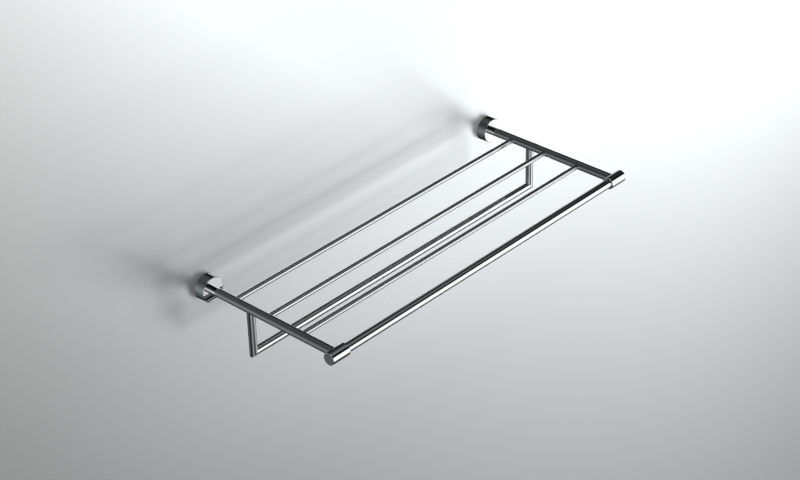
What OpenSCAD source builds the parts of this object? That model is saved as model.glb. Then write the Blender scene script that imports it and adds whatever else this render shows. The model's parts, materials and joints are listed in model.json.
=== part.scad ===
/* [Shelf] */
// Distance between the two side arms, axis to axis
arm_spacing = 570; // [420:5:700]
// Distance from the wall to the front bar's axis
shelf_depth = 241.5; // [235:0.5:280]
// Outer diameter of the side arms
arm_d = 12.4; // [11.6:0.1:13]
// Outer diameter of the shelf rails
rail_d = 7.4; // [6:0.1:9]
// Distance from the front bar's axis to the front rail's axis
front_gap = 64; // [40:0.5:66]
// Distance between neighbouring rails, axis to axis
rail_pitch = 61; // [40:0.5:62]
// Wall thickness of every tube
tube_wall = 1; // [0.8:0.1:1.2]

/* [Front bar] */
// Outer diameter of the front bar
front_bar_d = 13.1; // [12:0.1:14]
// Outer diameter of the corner sleeves
sleeve_d = 17.7; // [16.4:0.1:18]
// Length of each corner sleeve, centred on its arm
sleeve_l = 31; // [29:0.5:36]
// Depth of the socket that holds each end of the front bar
socket_depth = 11.5; // [10:0.1:12]

/* [Towel bar] */
// Outer diameter of the towel bar and of its two posts
towel_bar_d = 11; // [10.6:0.1:11.8]
// Height of the arms' axes above the towel bar's axis
towel_bar_drop = 67; // [45:0.5:90]

/* [Wall fixing] */
// Outer diameter of the wall flanges
flange_d = 36.5; // [35:0.5:42]
// Depth of the flanges from the wall to the flat front
flange_depth = 15.5; // [15:0.5:18]
// Thickness of the flange around its side
flange_skin = 2.5; // [2:0.1:3]
// Thickness of the flange's flat front
flange_front = 3; // [2.5:0.1:3.5]
// Thickness of the bracket disc that is screwed to the wall
bracket_t = 6; // [5:0.1:6.5]
// Distance between a bracket's two screw holes
screw_spacing = 20; // [18:0.5:21]
// Diameter of the wall screw holes
screw_hole_d = 5; // [4:0.1:5.2]

/* [Fasteners] */
// Thread diameter of the arm bolts, front studs and post spigots
thread_d = 6; // [5:0.1:6.4]
// Thread diameter of the set screws that lock the flanges
flange_grub_d = 4; // [3:0.1:4.4]
// Thread diameter of the small set screws in the sleeves and posts
small_grub_d = 3; // [2.5:0.1:3.4]

/* [Hidden] */
$fn = 96;
hex = 6;
arm_x = arm_spacing / 2;
front_y = -shelf_depth;
front_rail_y = front_y + front_gap;
middle_rail_y = front_rail_y + rail_pitch;
rear_rail_y = middle_rail_y + rail_pitch;
post_y = (middle_rail_y + rear_rail_y) / 2;
towel_bar_z = -towel_bar_drop;

arm_r = arm_d / 2;
arm_bore_r = arm_r - tube_wall;
sleeve_r = sleeve_d / 2;
post_r = towel_bar_d / 2;
post_bore_r = post_r - tube_wall;
flange_r = flange_d / 2;
cup_r = flange_r - flange_skin;
slip = 0.1;
bracket_r = cup_r - slip;
thread_r = thread_d / 2;
bolt_hole_r = thread_r + 0.2;

// How far a rail's end reaches past the arm's axis inside the arm
rail_reach = 2.5;
flange_round = 0.8;
sleeve_round = (sleeve_d - front_bar_d) / 2 * 0.4;
fine_bevel = 0.3;
groove_depth = 1.2;
groove_half_mouth = 1.7;
groove_half_floor = 0.6;
groove_y = -bracket_t / 2;
washer_t = 1;
washer_r = thread_r * 2;
bolt_head_r = thread_r * 1.7;
bolt_head_h = 4;
bolt_socket_d = 4.6;
bolt_socket_depth = 2.4;
bolt_grip = 14;
insert_l = 18;
stud_plug_l = 16;
stud_reach = 5.5;
core_l = 18;
spigot_l = 16;
spigot_thread_l = 7;
spigot_groove_drop = 7;
spigot_groove_depth = 0.9;
grub_sink = 0.3;
grub_socket_ratio = 0.55;
grub_socket_depth = 1.1;
sleeve_grub_x = arm_x - sleeve_l / 2 + 5;

// The side pieces are drawn for the right-hand side; the left ones are their mirror images
module left_side() {
    mirror([1, 0, 0]) children();
}

// A round bar along X, from x0 to x1
module bar_x(r, x0, x1) {
    translate([x0, 0, 0]) rotate([0, 90, 0]) cylinder(r = r, h = x1 - x0);
}

// A round bar along Y, from y0 to y1
module bar_y(r, y0, y1) {
    translate([0, y0, 0]) rotate([-90, 0, 0]) cylinder(r = r, h = y1 - y0);
}

// Half outline of a round bar of the given length, its edge rounded at the far end
module round_ended_half(r, length, round) {
    square([r, length - round]);
    square([r - round, length]);
    translate([r - round, length - round]) circle(r = round);
}

// A set screw along Z with its socket end at z = 0 and its point at z = length
module set_screw(d, length, point_l, point_r) {
    difference() {
        union() {
            cylinder(d = d, h = length - point_l);
            translate([0, 0, length - point_l]) cylinder(r1 = d / 2, r2 = point_r, h = point_l);
        }
        translate([0, 0, -1]) cylinder(d = d * grub_socket_ratio, h = 1 + grub_socket_depth, $fn = hex);
    }
}

// Disc screwed to the wall; a groove round its rim takes the flange's set screw
module wall_bracket() {
    color("silver") translate([arm_x, 0, 0]) difference() {
        rotate([90, 0, 0]) rotate_extrude() polygon([
            [0, 0], [bracket_r, 0],
            [bracket_r, -groove_y - groove_half_mouth],
            [bracket_r - groove_depth, -groove_y - groove_half_floor],
            [bracket_r - groove_depth, -groove_y + groove_half_floor],
            [bracket_r, -groove_y + groove_half_mouth],
            [bracket_r, bracket_t - fine_bevel], [bracket_r - fine_bevel, bracket_t], [0, bracket_t]
        ]);
        for (z = [-1, 1] * screw_spacing / 2)
            translate([0, 0, z]) bar_y(screw_hole_d / 2, -bracket_t - 1, 1);
    }
}

// Cover cup over the bracket, open to the wall, with the arm's bolt hole in its flat front
module flange() {
    color("gainsboro") translate([arm_x, 0, 0]) difference() {
        rotate([90, 0, 0]) rotate_extrude() round_ended_half(flange_r, flange_depth, flange_round);
        bar_y(cup_r, flange_front - flange_depth, 1);
        bar_y(bolt_hole_r, -flange_depth - 1, 1);
        translate([0, groove_y, -flange_r - 1]) cylinder(d = flange_grub_d, h = flange_skin + 2);
    }
}

// Set screw up through the underside of the flange, its point in the bracket's groove
module flange_grub() {
    length = flange_r - grub_sink - bracket_r + groove_depth;
    color("dimgray") translate([arm_x, groove_y, -flange_r + grub_sink])
        set_screw(flange_grub_d, length, length / 2, groove_half_floor * 0.8);
}

// Bolt from inside the cup into the rear end of the arm
module arm_bolt() {
    head_y = -flange_depth + flange_front + washer_t;
    color("dimgray") translate([arm_x, 0, 0]) difference() {
        union() {
            bar_y(bolt_head_r, head_y, head_y + bolt_head_h);
            bar_y(thread_r, -flange_depth - bolt_grip, head_y);
        }
        translate([0, head_y + bolt_head_h - bolt_socket_depth, 0]) rotate([-90, 0, 0])
            cylinder(d = bolt_socket_d, h = bolt_socket_depth + 1, $fn = hex);
    }
}

// Washer between the bolt's head and the inside of the flange's front
module arm_washer() {
    washer_y = -flange_depth + flange_front;
    color("silver") translate([arm_x, 0, 0]) difference() {
        bar_y(washer_r, washer_y, washer_y + washer_t);
        bar_y(bolt_hole_r, washer_y - 1, washer_y + washer_t + 1);
    }
}

// Threaded plug pressed into the rear end of the arm
module rear_insert() {
    color("goldenrod") translate([arm_x, 0, 0]) difference() {
        bar_y(arm_bore_r, -flange_depth - insert_l, -flange_depth);
        bar_y(thread_r, -flange_depth - bolt_grip, 1 - flange_depth);
    }
}

// Side arm, its front end coped to the corner sleeve, with sockets for the three rails
module arm() {
    color("gainsboro") difference() {
        translate([arm_x, 0, 0]) difference() {
            bar_y(arm_r, front_y, -flange_depth);
            bar_y(arm_bore_r, front_y - 1, 1);
        }
        translate([0, front_y, 0]) bar_x(sleeve_r, arm_x - sleeve_l, arm_x + sleeve_l);
        for (y = [front_rail_y, middle_rail_y, rear_rail_y])
            translate([0, y, 0]) bar_x(rail_d / 2, arm_x - arm_d, arm_x);
        translate([arm_x, post_y, -arm_d]) cylinder(r = thread_r, h = arm_d);
    }
}

// Plug in the front end of the arm with the stud that screws into the corner sleeve
module front_stud() {
    plug_y = front_y + sleeve_r;
    color("goldenrod") translate([arm_x, 0, 0]) union() {
        bar_y(arm_bore_r, plug_y, plug_y + stud_plug_l);
        bar_y(thread_r, plug_y - stud_reach, plug_y);
    }
}

// Turned sleeve on the front corner: blind socket for the front bar, threaded hole for the arm
module corner_sleeve() {
    inner_x = -sleeve_l / 2;
    color("gainsboro") translate([arm_x, front_y, 0]) difference() {
        for (turn = [-90, 90])
            rotate([0, turn, 0]) rotate_extrude() round_ended_half(sleeve_r, sleeve_l / 2, sleeve_round);
        bar_x(front_bar_d / 2, inner_x - 1, inner_x + socket_depth);
        bar_y(thread_r, sleeve_r - stud_reach, sleeve_r + 1);
        translate([sleeve_grub_x - arm_x, 0, -sleeve_r - 1]) cylinder(d = small_grub_d, h = sleeve_r);
    }
}

// Set screw up through the sleeve and the wall of the front bar
module sleeve_grub() {
    length = sleeve_r - grub_sink - front_bar_d / 2 + tube_wall;
    color("dimgray") translate([sleeve_grub_x, front_y, -sleeve_r + grub_sink])
        set_screw(small_grub_d, length, fine_bevel, small_grub_d / 2 - fine_bevel);
}

// Plug inside the arm above the post, with a threaded hole for the spigot
module arm_core() {
    color("goldenrod") translate([arm_x, post_y, 0]) difference() {
        bar_y(arm_bore_r, -core_l / 2, core_l / 2);
        translate([0, 0, -arm_r]) cylinder(r = thread_r, h = spigot_thread_l);
    }
}

// Spigot screwed up into the arm's core; the top of the post slides over it
module post_spigot() {
    groove_z = -arm_r - spigot_groove_drop;
    color("silver") translate([arm_x, post_y, 0]) difference() {
        union() {
            translate([0, 0, -arm_r]) cylinder(r = thread_r, h = spigot_thread_l);
            translate([0, 0, -arm_r - spigot_l]) cylinder(r = post_bore_r, h = spigot_l);
        }
        translate([0, 0, groove_z - small_grub_d / 2]) difference() {
            cylinder(r = post_r, h = small_grub_d);
            translate([0, 0, -1]) cylinder(r = post_bore_r - spigot_groove_depth, h = small_grub_d + 2);
        }
    }
}

// Set screw through the wall side of the post into the spigot's groove
module post_grub() {
    length = tube_wall + spigot_groove_depth - grub_sink;
    color("dimgray") translate([arm_x, post_y + post_r - grub_sink, -arm_r - spigot_groove_drop])
        rotate([90, 0, 0]) set_screw(small_grub_d, length, fine_bevel, small_grub_d / 2 - fine_bevel);
}

// Half space outside the mitre plane at the foot of a post, as a block of the given size
module mitre_block(size) {
    translate([arm_x, post_y, towel_bar_z]) rotate([0, 45, 0])
        translate([-size / 2, -size / 2, 0]) cube(size);
}

// Drop post: coped under the arm, cut at 45 degrees at its foot
module post() {
    color("gainsboro") difference() {
        intersection() {
            translate([arm_x, post_y, towel_bar_z - towel_bar_d]) difference() {
                cylinder(r = post_r, h = towel_bar_drop + towel_bar_d);
                translate([0, 0, -1]) cylinder(r = post_bore_r, h = towel_bar_drop + towel_bar_d + 2);
            }
            mitre_block(towel_bar_drop * 4);
        }
        translate([arm_x, 0, 0]) bar_y(arm_r, post_y - arm_d, post_y + arm_d);
        translate([arm_x, post_y, -arm_r - spigot_groove_drop]) bar_y(small_grub_d / 2, 0, arm_d);
    }
}

// Lower bar for a hanging towel, cut at 45 degrees at both ends
module towel_bar() {
    end_x = arm_x + towel_bar_d;
    color("gainsboro") difference() {
        translate([0, post_y, towel_bar_z]) difference() {
            bar_x(post_r, -end_x, end_x);
            bar_x(post_bore_r, -end_x - 1, end_x + 1);
        }
        mitre_block(towel_bar_d * 6);
        left_side() mitre_block(towel_bar_d * 6);
    }
}

// Shelf rail at distance y from the wall, its ends inside the arms
module rail(y) {
    end_x = arm_x + rail_reach;
    color("gainsboro") translate([0, y, 0]) difference() {
        bar_x(rail_d / 2, -end_x, end_x);
        bar_x(rail_d / 2 - tube_wall, -end_x - 1, end_x + 1);
    }
}

// Front bar between the sockets of the two corner sleeves
module front_bar() {
    end_x = arm_x - sleeve_l / 2 + socket_depth;
    color("gainsboro") translate([0, front_y, 0]) difference() {
        bar_x(front_bar_d / 2, -end_x, end_x);
        bar_x(front_bar_d / 2 - tube_wall, -end_x - 1, end_x + 1);
        for (x = [-sleeve_grub_x, sleeve_grub_x])
            translate([x, 0, -front_bar_d]) cylinder(d = small_grub_d, h = front_bar_d);
    }
}

left_side() wall_bracket();  // wall_bracket_left
wall_bracket();  // wall_bracket_right
left_side() flange();  // flange_left
flange();  // flange_right
left_side() flange_grub();  // flange_grub_left
flange_grub();  // flange_grub_right
left_side() arm_bolt();  // arm_bolt_left
arm_bolt();  // arm_bolt_right
left_side() arm_washer();  // arm_washer_left
arm_washer();  // arm_washer_right
left_side() rear_insert();  // rear_insert_left
rear_insert();  // rear_insert_right
left_side() arm();  // arm_left
arm();  // arm_right
left_side() front_stud();  // front_stud_left
front_stud();  // front_stud_right
left_side() corner_sleeve();  // corner_sleeve_left
corner_sleeve();  // corner_sleeve_right
left_side() sleeve_grub();  // sleeve_grub_left
sleeve_grub();  // sleeve_grub_right
left_side() arm_core();  // arm_core_left
arm_core();  // arm_core_right
left_side() post_spigot();  // post_spigot_left
post_spigot();  // post_spigot_right
left_side() post_grub();  // post_grub_left
post_grub();  // post_grub_right
left_side() post();  // post_left
post();  // post_right
towel_bar();
rail(rear_rail_y);  // rail_rear
rail(middle_rail_y);  // rail_middle
rail(front_rail_y);  // rail_front
front_bar();
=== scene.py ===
"""Studio scene of a wall-mounted chrome towel rack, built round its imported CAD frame.

Metres, +X along the wall, +Y into the wall, +Z up; the wall is the plane y = 0.
Every visible part of the rack is a CAD node, which gets its material here.
"""
import json
import math

import bpy
from mathutils import Matrix, Quaternion, Vector

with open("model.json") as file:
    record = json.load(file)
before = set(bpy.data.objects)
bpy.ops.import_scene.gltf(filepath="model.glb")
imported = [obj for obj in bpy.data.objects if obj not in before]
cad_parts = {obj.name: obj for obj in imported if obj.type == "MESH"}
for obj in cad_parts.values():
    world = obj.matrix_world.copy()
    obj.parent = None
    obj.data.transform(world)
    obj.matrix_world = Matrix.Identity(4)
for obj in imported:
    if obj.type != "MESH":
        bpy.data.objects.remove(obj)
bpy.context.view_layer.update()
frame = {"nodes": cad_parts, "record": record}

# ---------------------------------------------------------------- camera
# Degrees; azimuth 0 looks straight at the wall and a negative one stands to the left.
# These are the rounded result of a least-squares fit.
CAMERA_AZIMUTH = -46.87
CAMERA_ELEVATION = 31.63
CAMERA_ROLL = -1.52
CAMERA_DISTANCE = 2.743
CAMERA_LENS_MM = 90.13
CAMERA_SENSOR_MM = 36
CAMERA_AIM = Vector((-0.0239, -0.1094, -0.0082))

# ---------------------------------------------------------------- wall and floor
# The wall stands a hair behind the flanges, so that their backs do not lie in its surface
WALL_GAP = 0.0004
WALL_HALF_WIDTH = 6.0
WALL_TOP = 3.0
WALL_ROUGHNESS = 0.9
FLOOR_HALF_WIDTH = 30.0
FLOOR_HALF_DEPTH = 30.0
FLOOR_Z = -1.7
FLOOR_TONES = (0.715, 0.725)
FLOOR_MOTTLE_SCALE = 1.2
FLOOR_MOTTLE_SPAN = (0.3, 0.7)
FLOOR_ROUGHNESS = 0.85
# Painted light: the floor glows with its own tone in place of lamplight from above
FLOOR_GLOW = 0.75

# The wall's colour holds a painted pool of light that grows upwards along a leaning axis and fades to its
# sides.
# The POOL values and WALL_BASE are the rounded result of a least-squares fit; POOL_LEVEL was then
# raised.
POOL_TILT = math.radians(11)
POOL_OFFSET = 1.21
POOL_WIDTH = 1.23
POOL_RISE = 1.52
POOL_LEVEL = 1.66
WALL_BASE = 0.115
WALL_DARKEST = 0.25
WALL_LIGHTEST = 1.0
# The wall's tint shifts from its left to its right colour between these two places along X.
# Both tints are rounded averages of colour ratios that a script measured in the photo.
WALL_TINT_SPAN = (-0.7, 0.1)
WALL_TINT_LEFT = (0.96, 1.0, 0.99)
WALL_TINT_RIGHT = (0.93, 0.97, 1.0)
# Painted light in the wall's colour, for light thrown back on the wall by the polished tubes: centre,
# reach along and up the wall, gain
REBOUND_CENTRE = Vector((0.02, 0, -0.15))
REBOUND_REACH = (0.70, 0.30)
REBOUND_GAIN = 0.075

# ---------------------------------------------------------------- lights
# Large soft lights parallel to the wall, far out in the room: name, sideways and upwards slope of
# their direction from the rack, half length and half width as slopes, tilt in degrees, power in watts.
# Both rows started from a least-squares fit; key was then turned a little.
LIGHT_DISTANCE = 12.0
ROOM_LIGHTS = (
    ("key", 0.72, -0.50, 0.35, 0.14, -42, 1980),
    ("fill", 1.03, -0.95, 0.38, 0.38, 0, 4000),
)
ROOM_LIGHT = 0.28
BACKDROP_BRIGHTNESS = 0.84

# Soft panels round the room that the polished metal mirrors: name, azimuth from +X towards the wall
# and elevation in degrees, half width and half height as sines, tilt in degrees, edge softness,
# brightness. A negative brightness is a flag that shades the panels behind it.
# The nine rows from softbox to low_front and DARK_ROOM are the rounded result of a least-squares
# fit; every other row is set one by one.
STUDIO_PANELS = (
    ("softbox", -42, -3, 0.38, 0.61, -45, 0.09, 1.30),
    ("softbox_skirt", -28, -29, 0.26, 0.26, 31, 0.50, 0.65),
    ("overhead", -24, 56, 0.33, 0.17, 9, 0.55, 0.20),
    ("wall_glint", 44, 1, 0.11, 0.29, -21, 0.16, 0.49),
    ("left_glow", 127, -4, 0.38, 0.47, 25, 0.94, 0.30),
    ("low_window", -132, -27, 0.45, 0.15, 5, 0.80, 0.47),
    ("low_back", 110, -47, 0.14, 0.22, -20, 0.55, 0.07),
    ("high_back", 76, 60, 0.51, 0.48, -21, 0.77, 0.075),
    ("low_front", -98, -38, 0.46, 0.50, 5, 0.50, 0.085),
    ("wall_glow", 45, -30, 0.28, 0.28, 0, 0.45, 0.36),
    ("flag", -24, 8, 0.24, 0.34, 10, 0.25, -1.40),
    ("ceiling", 0, 90, 0.40, 0.40, 0, 0.25, 0.90),
    ("left_softbox", -135, -4, 0.38, 0.30, 0, 0.15, 0.75),
    ("near_dusk", -133, 34, 0.36, 0.30, 0, 0.50, 0.035),
    ("front_fill", -90, 8, 0.25, 0.30, 0, 0.60, 0.35),
    ("floor_glow", -90, -80, 0.35, 0.30, 0, 0.50, 0.30),
    ("right_fill", 0, 8, 0.22, 0.28, 0, 0.30, 0.60),
    ("left_fill", 180, 10, 0.30, 0.35, 0, 0.30, 0.60),
    ("rear_fill", 90, 12, 0.30, 0.30, 0, 0.40, 0.50),
)
# A panel seen nearly edge-on fades out below this cosine
PANEL_SIDE_FADE = 0.1
DARK_ROOM = 0.004
# The red share of the studio's darkest places; from this brightness up the panels are white
COOL_SHADE = 0.88
WHITE_FROM = 0.5

# ---------------------------------------------------------------- metals
# Noise scale of the slow colour drift as a share of the grain's
DRIFT_TO_GRAIN = 0.05
DRIFT_DETAIL = 3.0
GRAIN_DETAIL = 5.0
GRAIN_BUMP_STRENGTH = 0.2
# The span of drift times grain over which a metal goes from its smooth to its rough value
WEAR_SPAN = (0.1, 0.5)
NOISE_ROUGHNESS = 0.55


def node(tree, kind, **settings):
    """Adds a shader node and sets its attributes; a name with i_ in front sets an input instead."""
    made = tree.nodes.new(kind)
    for name, value in settings.items():
        if name.startswith("i_"):
            made.inputs[name[2:].replace("_", " ")].default_value = value
        else:
            setattr(made, name, value)
    return made


def math_node(tree, operation, first, second=None):
    """A math node whose operands are numbers or sockets; returns its output socket."""
    made = node(tree, "ShaderNodeMath", operation=operation)
    for socket, value in zip(made.inputs, (first, second)):
        if isinstance(value, bpy.types.NodeSocket):
            tree.links.new(value, socket)
        elif value is not None:
            socket.default_value = value
    return made.outputs[0]


def smooth_range(tree, value, low, high, to_low=0.0, to_high=1.0):
    """Maps a socket's value from low..high to to_low..to_high with smooth ends."""
    made = node(tree, "ShaderNodeMapRange", interpolation_type="SMOOTHSTEP")
    tree.links.new(value, made.inputs["Value"])
    limits = {"From Min": low, "From Max": high, "To Min": to_low, "To Max": to_high}
    for name, number in limits.items():
        made.inputs[name].default_value = number
    return made.outputs["Result"]


def noise(tree, coordinates, scale, detail=DRIFT_DETAIL):
    """A noise texture over the given coordinates; returns its factor."""
    made = node(tree, "ShaderNodeTexNoise", i_Scale=scale, i_Detail=detail)
    made.inputs["Roughness"].default_value = NOISE_ROUGHNESS
    tree.links.new(coordinates, made.inputs["Vector"])
    return made.outputs["Fac"]


def dot(tree, vector, direction):
    """The dot product of a vector socket with a fixed direction."""
    made = node(tree, "ShaderNodeVectorMath", operation="DOT_PRODUCT")
    tree.links.new(vector, made.inputs[0])
    made.inputs[1].default_value = direction
    return made.outputs["Value"]


def flat_length(tree, across, up):
    """The length of a flat offset, given by its two sockets."""
    offset = node(tree, "ShaderNodeCombineXYZ")
    tree.links.new(across, offset.inputs["X"])
    tree.links.new(up, offset.inputs["Y"])
    length = node(tree, "ShaderNodeVectorMath", operation="LENGTH")
    tree.links.new(offset.outputs[0], length.inputs[0])
    return length.outputs["Value"]


def mix_shaders(tree, factor, first, second):
    """Mixes the first output of two shader nodes by a factor socket; returns the mixing node."""
    mix = node(tree, "ShaderNodeMixShader")
    tree.links.new(factor, mix.inputs[0])
    tree.links.new(first.outputs[0], mix.inputs[1])
    tree.links.new(second.outputs[0], mix.inputs[2])
    return mix


def new_material(name):
    """An empty node material with a Principled shader; returns the material, tree, shader, surface."""
    material = bpy.data.materials.new(name)
    material.use_nodes = True
    tree = material.node_tree
    tree.nodes.clear()
    shader = node(tree, "ShaderNodeBsdfPrincipled")
    surface = node(tree, "ShaderNodeOutputMaterial").inputs["Surface"]
    tree.links.new(shader.outputs[0], surface)
    return material, tree, shader, surface


def metal(name, dark, light, smooth, rough, grain_scale, grain_depth):
    """A metal whose colour and roughness drift with a soft noise and whose surface has a fine grain."""
    material, tree, shader, _ = new_material(name)
    place = node(tree, "ShaderNodeTexCoord").outputs["Object"]
    drift = noise(tree, place, grain_scale * DRIFT_TO_GRAIN)
    grain = noise(tree, place, grain_scale, detail=GRAIN_DETAIL)
    colour = node(tree, "ShaderNodeMix", data_type="RGBA")
    colour.inputs["A"].default_value = (*dark, 1)
    colour.inputs["B"].default_value = (*light, 1)
    tree.links.new(drift, colour.inputs["Factor"])
    tree.links.new(colour.outputs["Result"], shader.inputs["Base Color"])
    worn = math_node(tree, "MULTIPLY", drift, grain)
    tree.links.new(smooth_range(tree, worn, *WEAR_SPAN, smooth, rough), shader.inputs["Roughness"])
    bump = node(tree, "ShaderNodeBump", i_Strength=GRAIN_BUMP_STRENGTH, i_Distance=grain_depth)
    tree.links.new(grain, bump.inputs["Height"])
    tree.links.new(bump.outputs["Normal"], shader.inputs["Normal"])
    shader.inputs["Metallic"].default_value = 1.0
    return material


def rack_materials():
    """The rack's metals, one for each material slot of the record."""
    return {
        "chrome": metal(
            "polished_chrome", dark=(0.74, 0.75, 0.76), light=(0.80, 0.81, 0.82),
            smooth=0.02, rough=0.05, grain_scale=900, grain_depth=0.000002,
        ),
        "bracket_steel": metal(
            "turned_steel", dark=(0.50, 0.50, 0.51), light=(0.60, 0.60, 0.60),
            smooth=0.25, rough=0.42, grain_scale=1600, grain_depth=0.00002,
        ),
        "screw_steel": metal(
            "dark_screw_steel", dark=(0.20, 0.20, 0.21), light=(0.30, 0.30, 0.31),
            smooth=0.22, rough=0.40, grain_scale=2200, grain_depth=0.00001,
        ),
        "insert_brass": metal(
            "turned_brass", dark=(0.62, 0.45, 0.19), light=(0.76, 0.58, 0.28),
            smooth=0.20, rough=0.36, grain_scale=1600, grain_depth=0.00001,
        ),
    }


def dress_cad_nodes():
    """Gives every CAD node the material of its slot in the record."""
    materials = rack_materials()
    slot_of = {row["node"]: row["material_slot"] for row in frame["record"]["subparts"]}
    for name, part in frame["nodes"].items():
        part.data.materials.clear()
        part.data.materials.append(materials[slot_of[name]])


def studio_panel(tree, vector, azimuth, elevation, half_width, half_height, tilt, softness, brightness):
    """Brightness of one oval soft panel as the direction vector sees it."""
    turned = Matrix.Rotation(math.radians(azimuth), 3, "Z")
    raised = turned @ Matrix.Rotation(math.radians(-elevation), 3, "Y")
    facing, sideways, upwards = (raised @ Matrix.Rotation(math.radians(tilt), 3, "X")).transposed()
    across = dot(tree, vector, sideways / half_width)
    up = dot(tree, vector, upwards / half_height)
    distance = flat_length(tree, across, up)
    oval = smooth_range(tree, distance, 1 - softness, 1 + softness, brightness, 0.0)
    front = smooth_range(tree, dot(tree, vector, facing), 0.0, PANEL_SIDE_FADE)
    return math_node(tree, "MULTIPLY", oval, front)


def mirrored_studio(tree):
    """The studio of soft panels that only mirror reflections see."""
    vector = node(tree, "ShaderNodeTexCoord").outputs["Generated"]
    total = 0.0
    for _, *panel in STUDIO_PANELS:
        total = math_node(tree, "ADD", studio_panel(tree, vector, *panel), total)
    total = math_node(tree, "MAXIMUM", total, DARK_ROOM)
    studio = node(tree, "ShaderNodeBackground")
    tree.links.new(total, studio.inputs["Strength"])
    shade = node(tree, "ShaderNodeCombineColor", i_Green=1.0, i_Blue=1.0)
    tree.links.new(smooth_range(tree, total, 0.0, WHITE_FROM, COOL_SHADE, 1.0), shade.inputs["Red"])
    tree.links.new(shade.outputs[0], studio.inputs["Color"])
    return studio


def build_world():
    """A pale room for the eye and for soft light, and the studio for mirror reflections."""
    world = bpy.data.worlds.new("studio")
    bpy.context.scene.world = world
    world.use_nodes = True
    tree = world.node_tree
    tree.nodes.clear()
    path = node(tree, "ShaderNodeLightPath").outputs
    room = node(tree, "ShaderNodeBackground", i_Color=(1.0, 1.0, 1.0, 1))
    seen = smooth_range(tree, path["Is Camera Ray"], 0.0, 1.0, ROOM_LIGHT, BACKDROP_BRIGHTNESS)
    tree.links.new(seen, room.inputs["Strength"])
    mix = mix_shaders(tree, path["Is Glossy Ray"], room, mirrored_studio(tree))
    output = node(tree, "ShaderNodeOutputWorld")
    tree.links.new(mix.outputs[0], output.inputs["Surface"])


def pool_level(tree, position):
    """How bright the painted pool of light makes the wall's colour at a position socket."""
    across = Vector((math.cos(POOL_TILT), 0, math.sin(POOL_TILT))) / POOL_WIDTH
    along = Vector((-math.sin(POOL_TILT), 0, math.cos(POOL_TILT))) * POOL_RISE
    sideways = math_node(tree, "SUBTRACT", dot(tree, position, across), POOL_OFFSET / POOL_WIDTH)
    fade = math_node(tree, "MULTIPLY", sideways, sideways)
    growth = math_node(tree, "SUBTRACT", dot(tree, position, along), fade)
    return math_node(tree, "MULTIPLY", math_node(tree, "EXPONENT", growth), POOL_LEVEL)


def rebound_gain(tree, position):
    """How much brighter the painted light, thrown back by the tubes, makes the wall's colour."""
    offsets = []
    for axis, reach in zip((Vector((1, 0, 0)), Vector((0, 0, 1))), REBOUND_REACH):
        centre = REBOUND_CENTRE.dot(axis) / reach
        offsets.append(math_node(tree, "SUBTRACT", dot(tree, position, axis / reach), centre))
    return smooth_range(tree, flat_length(tree, *offsets), 0.0, 1.0, 1 + REBOUND_GAIN, 1.0)


def wall_material():
    """Pale wall paint with a painted pool of light, brighter to the upper right, seen only from the room
    side.
    """
    material, tree, shader, surface = new_material("wall_paint_and_painted_light")
    place = node(tree, "ShaderNodeNewGeometry").outputs
    # The base colour carries painted light: the pool of light and the light the tubes throw back
    level = math_node(tree, "ADD", pool_level(tree, place["Position"]), WALL_BASE)
    level = math_node(tree, "MULTIPLY", level, rebound_gain(tree, place["Position"]))
    level = math_node(tree, "MINIMUM", level, WALL_LIGHTEST)
    level = math_node(tree, "MAXIMUM", level, WALL_DARKEST)
    colour = node(tree, "ShaderNodeCombineColor")
    east = dot(tree, place["Position"], (1, 0, 0))
    for channel, left, right in zip(("Red", "Green", "Blue"), WALL_TINT_LEFT, WALL_TINT_RIGHT):
        tint = smooth_range(tree, east, *WALL_TINT_SPAN, left, right)
        tree.links.new(math_node(tree, "MULTIPLY", level, tint), colour.inputs[channel])
    tree.links.new(colour.outputs[0], shader.inputs["Base Color"])
    shader.inputs["Roughness"].default_value = WALL_ROUGHNESS
    clear = node(tree, "ShaderNodeBsdfTransparent")
    mix = mix_shaders(tree, place["Backfacing"], shader, clear)
    tree.links.new(mix.outputs[0], surface)
    return material


def floor_material():
    """Plain pale floor with a faint mottling and a painted glow of its own, since the lights stand low.
    """
    material, tree, shader, _ = new_material("pale_floor")
    place = node(tree, "ShaderNodeTexCoord").outputs["Object"]
    mottle = noise(tree, place, FLOOR_MOTTLE_SCALE)
    tone = smooth_range(tree, mottle, *FLOOR_MOTTLE_SPAN, *FLOOR_TONES)
    tree.links.new(tone, shader.inputs["Base Color"])
    tree.links.new(tone, shader.inputs["Emission Color"])
    shader.inputs["Emission Strength"].default_value = FLOOR_GLOW
    shader.inputs["Roughness"].default_value = FLOOR_ROUGHNESS
    return material


def rectangle(half_width, low, high):
    """The corners of a rectangle as seen with its normal towards the eye, lower left first."""
    return ((-half_width, low), (half_width, low), (half_width, high), (-half_width, high))


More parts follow.
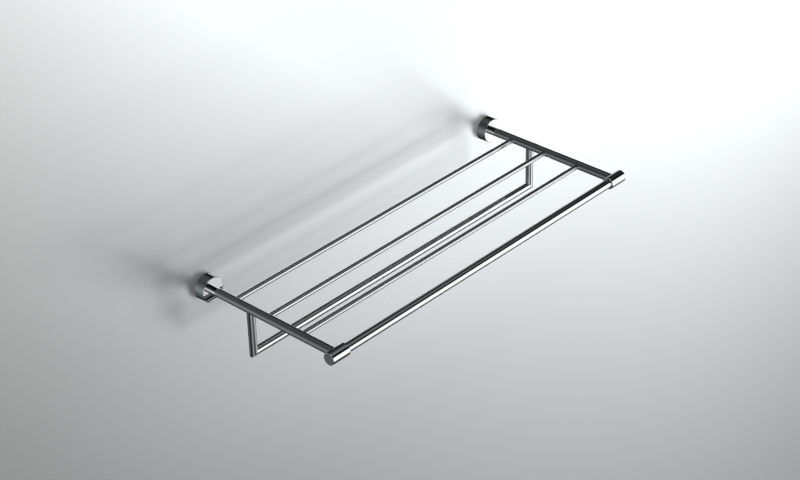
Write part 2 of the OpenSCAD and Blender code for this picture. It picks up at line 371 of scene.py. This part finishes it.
def stage_sheet(name, corners, material):
    """A flat four-cornered stage surface that neither shades nor shows in the polished metal."""
    mesh = bpy.data.meshes.new(name)
    mesh.from_pydata(corners, [], [(0, 1, 2, 3)])
    mesh.materials.append(material)
    made = bpy.data.objects.new(name, mesh)
    bpy.context.scene.collection.objects.link(made)
    made.visible_glossy = False
    made.visible_shadow = False
    return made


def build_stage():
    """The wall that the rack hangs on and a floor below it."""
    wall = [(x, WALL_GAP, z) for x, z in rectangle(WALL_HALF_WIDTH, FLOOR_Z, WALL_TOP)]
    stage_sheet("wall", wall, wall_material())
    floor = [(x, y, FLOOR_Z) for x, y in rectangle(FLOOR_HALF_WIDTH, -FLOOR_HALF_DEPTH, FLOOR_HALF_DEPTH)]
    stage_sheet("floor", floor, floor_material()).visible_diffuse = False


def build_lights():
    """Wide far lights from the lower right in front, which cast the soft shadows on the wall."""
    for name, sideways, upwards, half_length, half_width, tilt, power in ROOM_LIGHTS:
        data = bpy.data.lights.new(name, "AREA")
        data.shape = "RECTANGLE"
        data.size = 2 * half_length * LIGHT_DISTANCE
        data.size_y = 2 * half_width * LIGHT_DISTANCE
        data.energy = power
        light = bpy.data.objects.new(name, data)
        light.location = Vector((sideways, -1.0, upwards)) * LIGHT_DISTANCE
        light.rotation_euler = (math.pi / 2, math.radians(-tilt), 0)
        light.visible_glossy = False
        light.visible_camera = False
        bpy.context.scene.collection.objects.link(light)


def build_camera():
    """Looks down on the rack from the front left."""
    azimuth = math.radians(CAMERA_AZIMUTH)
    elevation = math.radians(CAMERA_ELEVATION)
    back = Vector((
        math.sin(azimuth) * math.cos(elevation),
        -math.cos(azimuth) * math.cos(elevation),
        math.sin(elevation),
    ))
    data = bpy.data.cameras.new("camera")
    data.sensor_width = CAMERA_SENSOR_MM
    data.lens = CAMERA_LENS_MM
    camera = bpy.data.objects.new("camera", data)
    camera.location = CAMERA_AIM + back * CAMERA_DISTANCE
    camera.rotation_mode = "QUATERNION"
    camera.rotation_quaternion = (-back).to_track_quat("-Z", "Y")
    camera.rotation_quaternion @= Quaternion((0, 0, 1), math.radians(CAMERA_ROLL))
    bpy.context.scene.collection.objects.link(camera)
    bpy.context.scene.camera = camera


bpy.context.scene.view_settings.view_transform = "Standard"
dress_cad_nodes()
build_world()
build_stage()
build_lights()
build_camera()
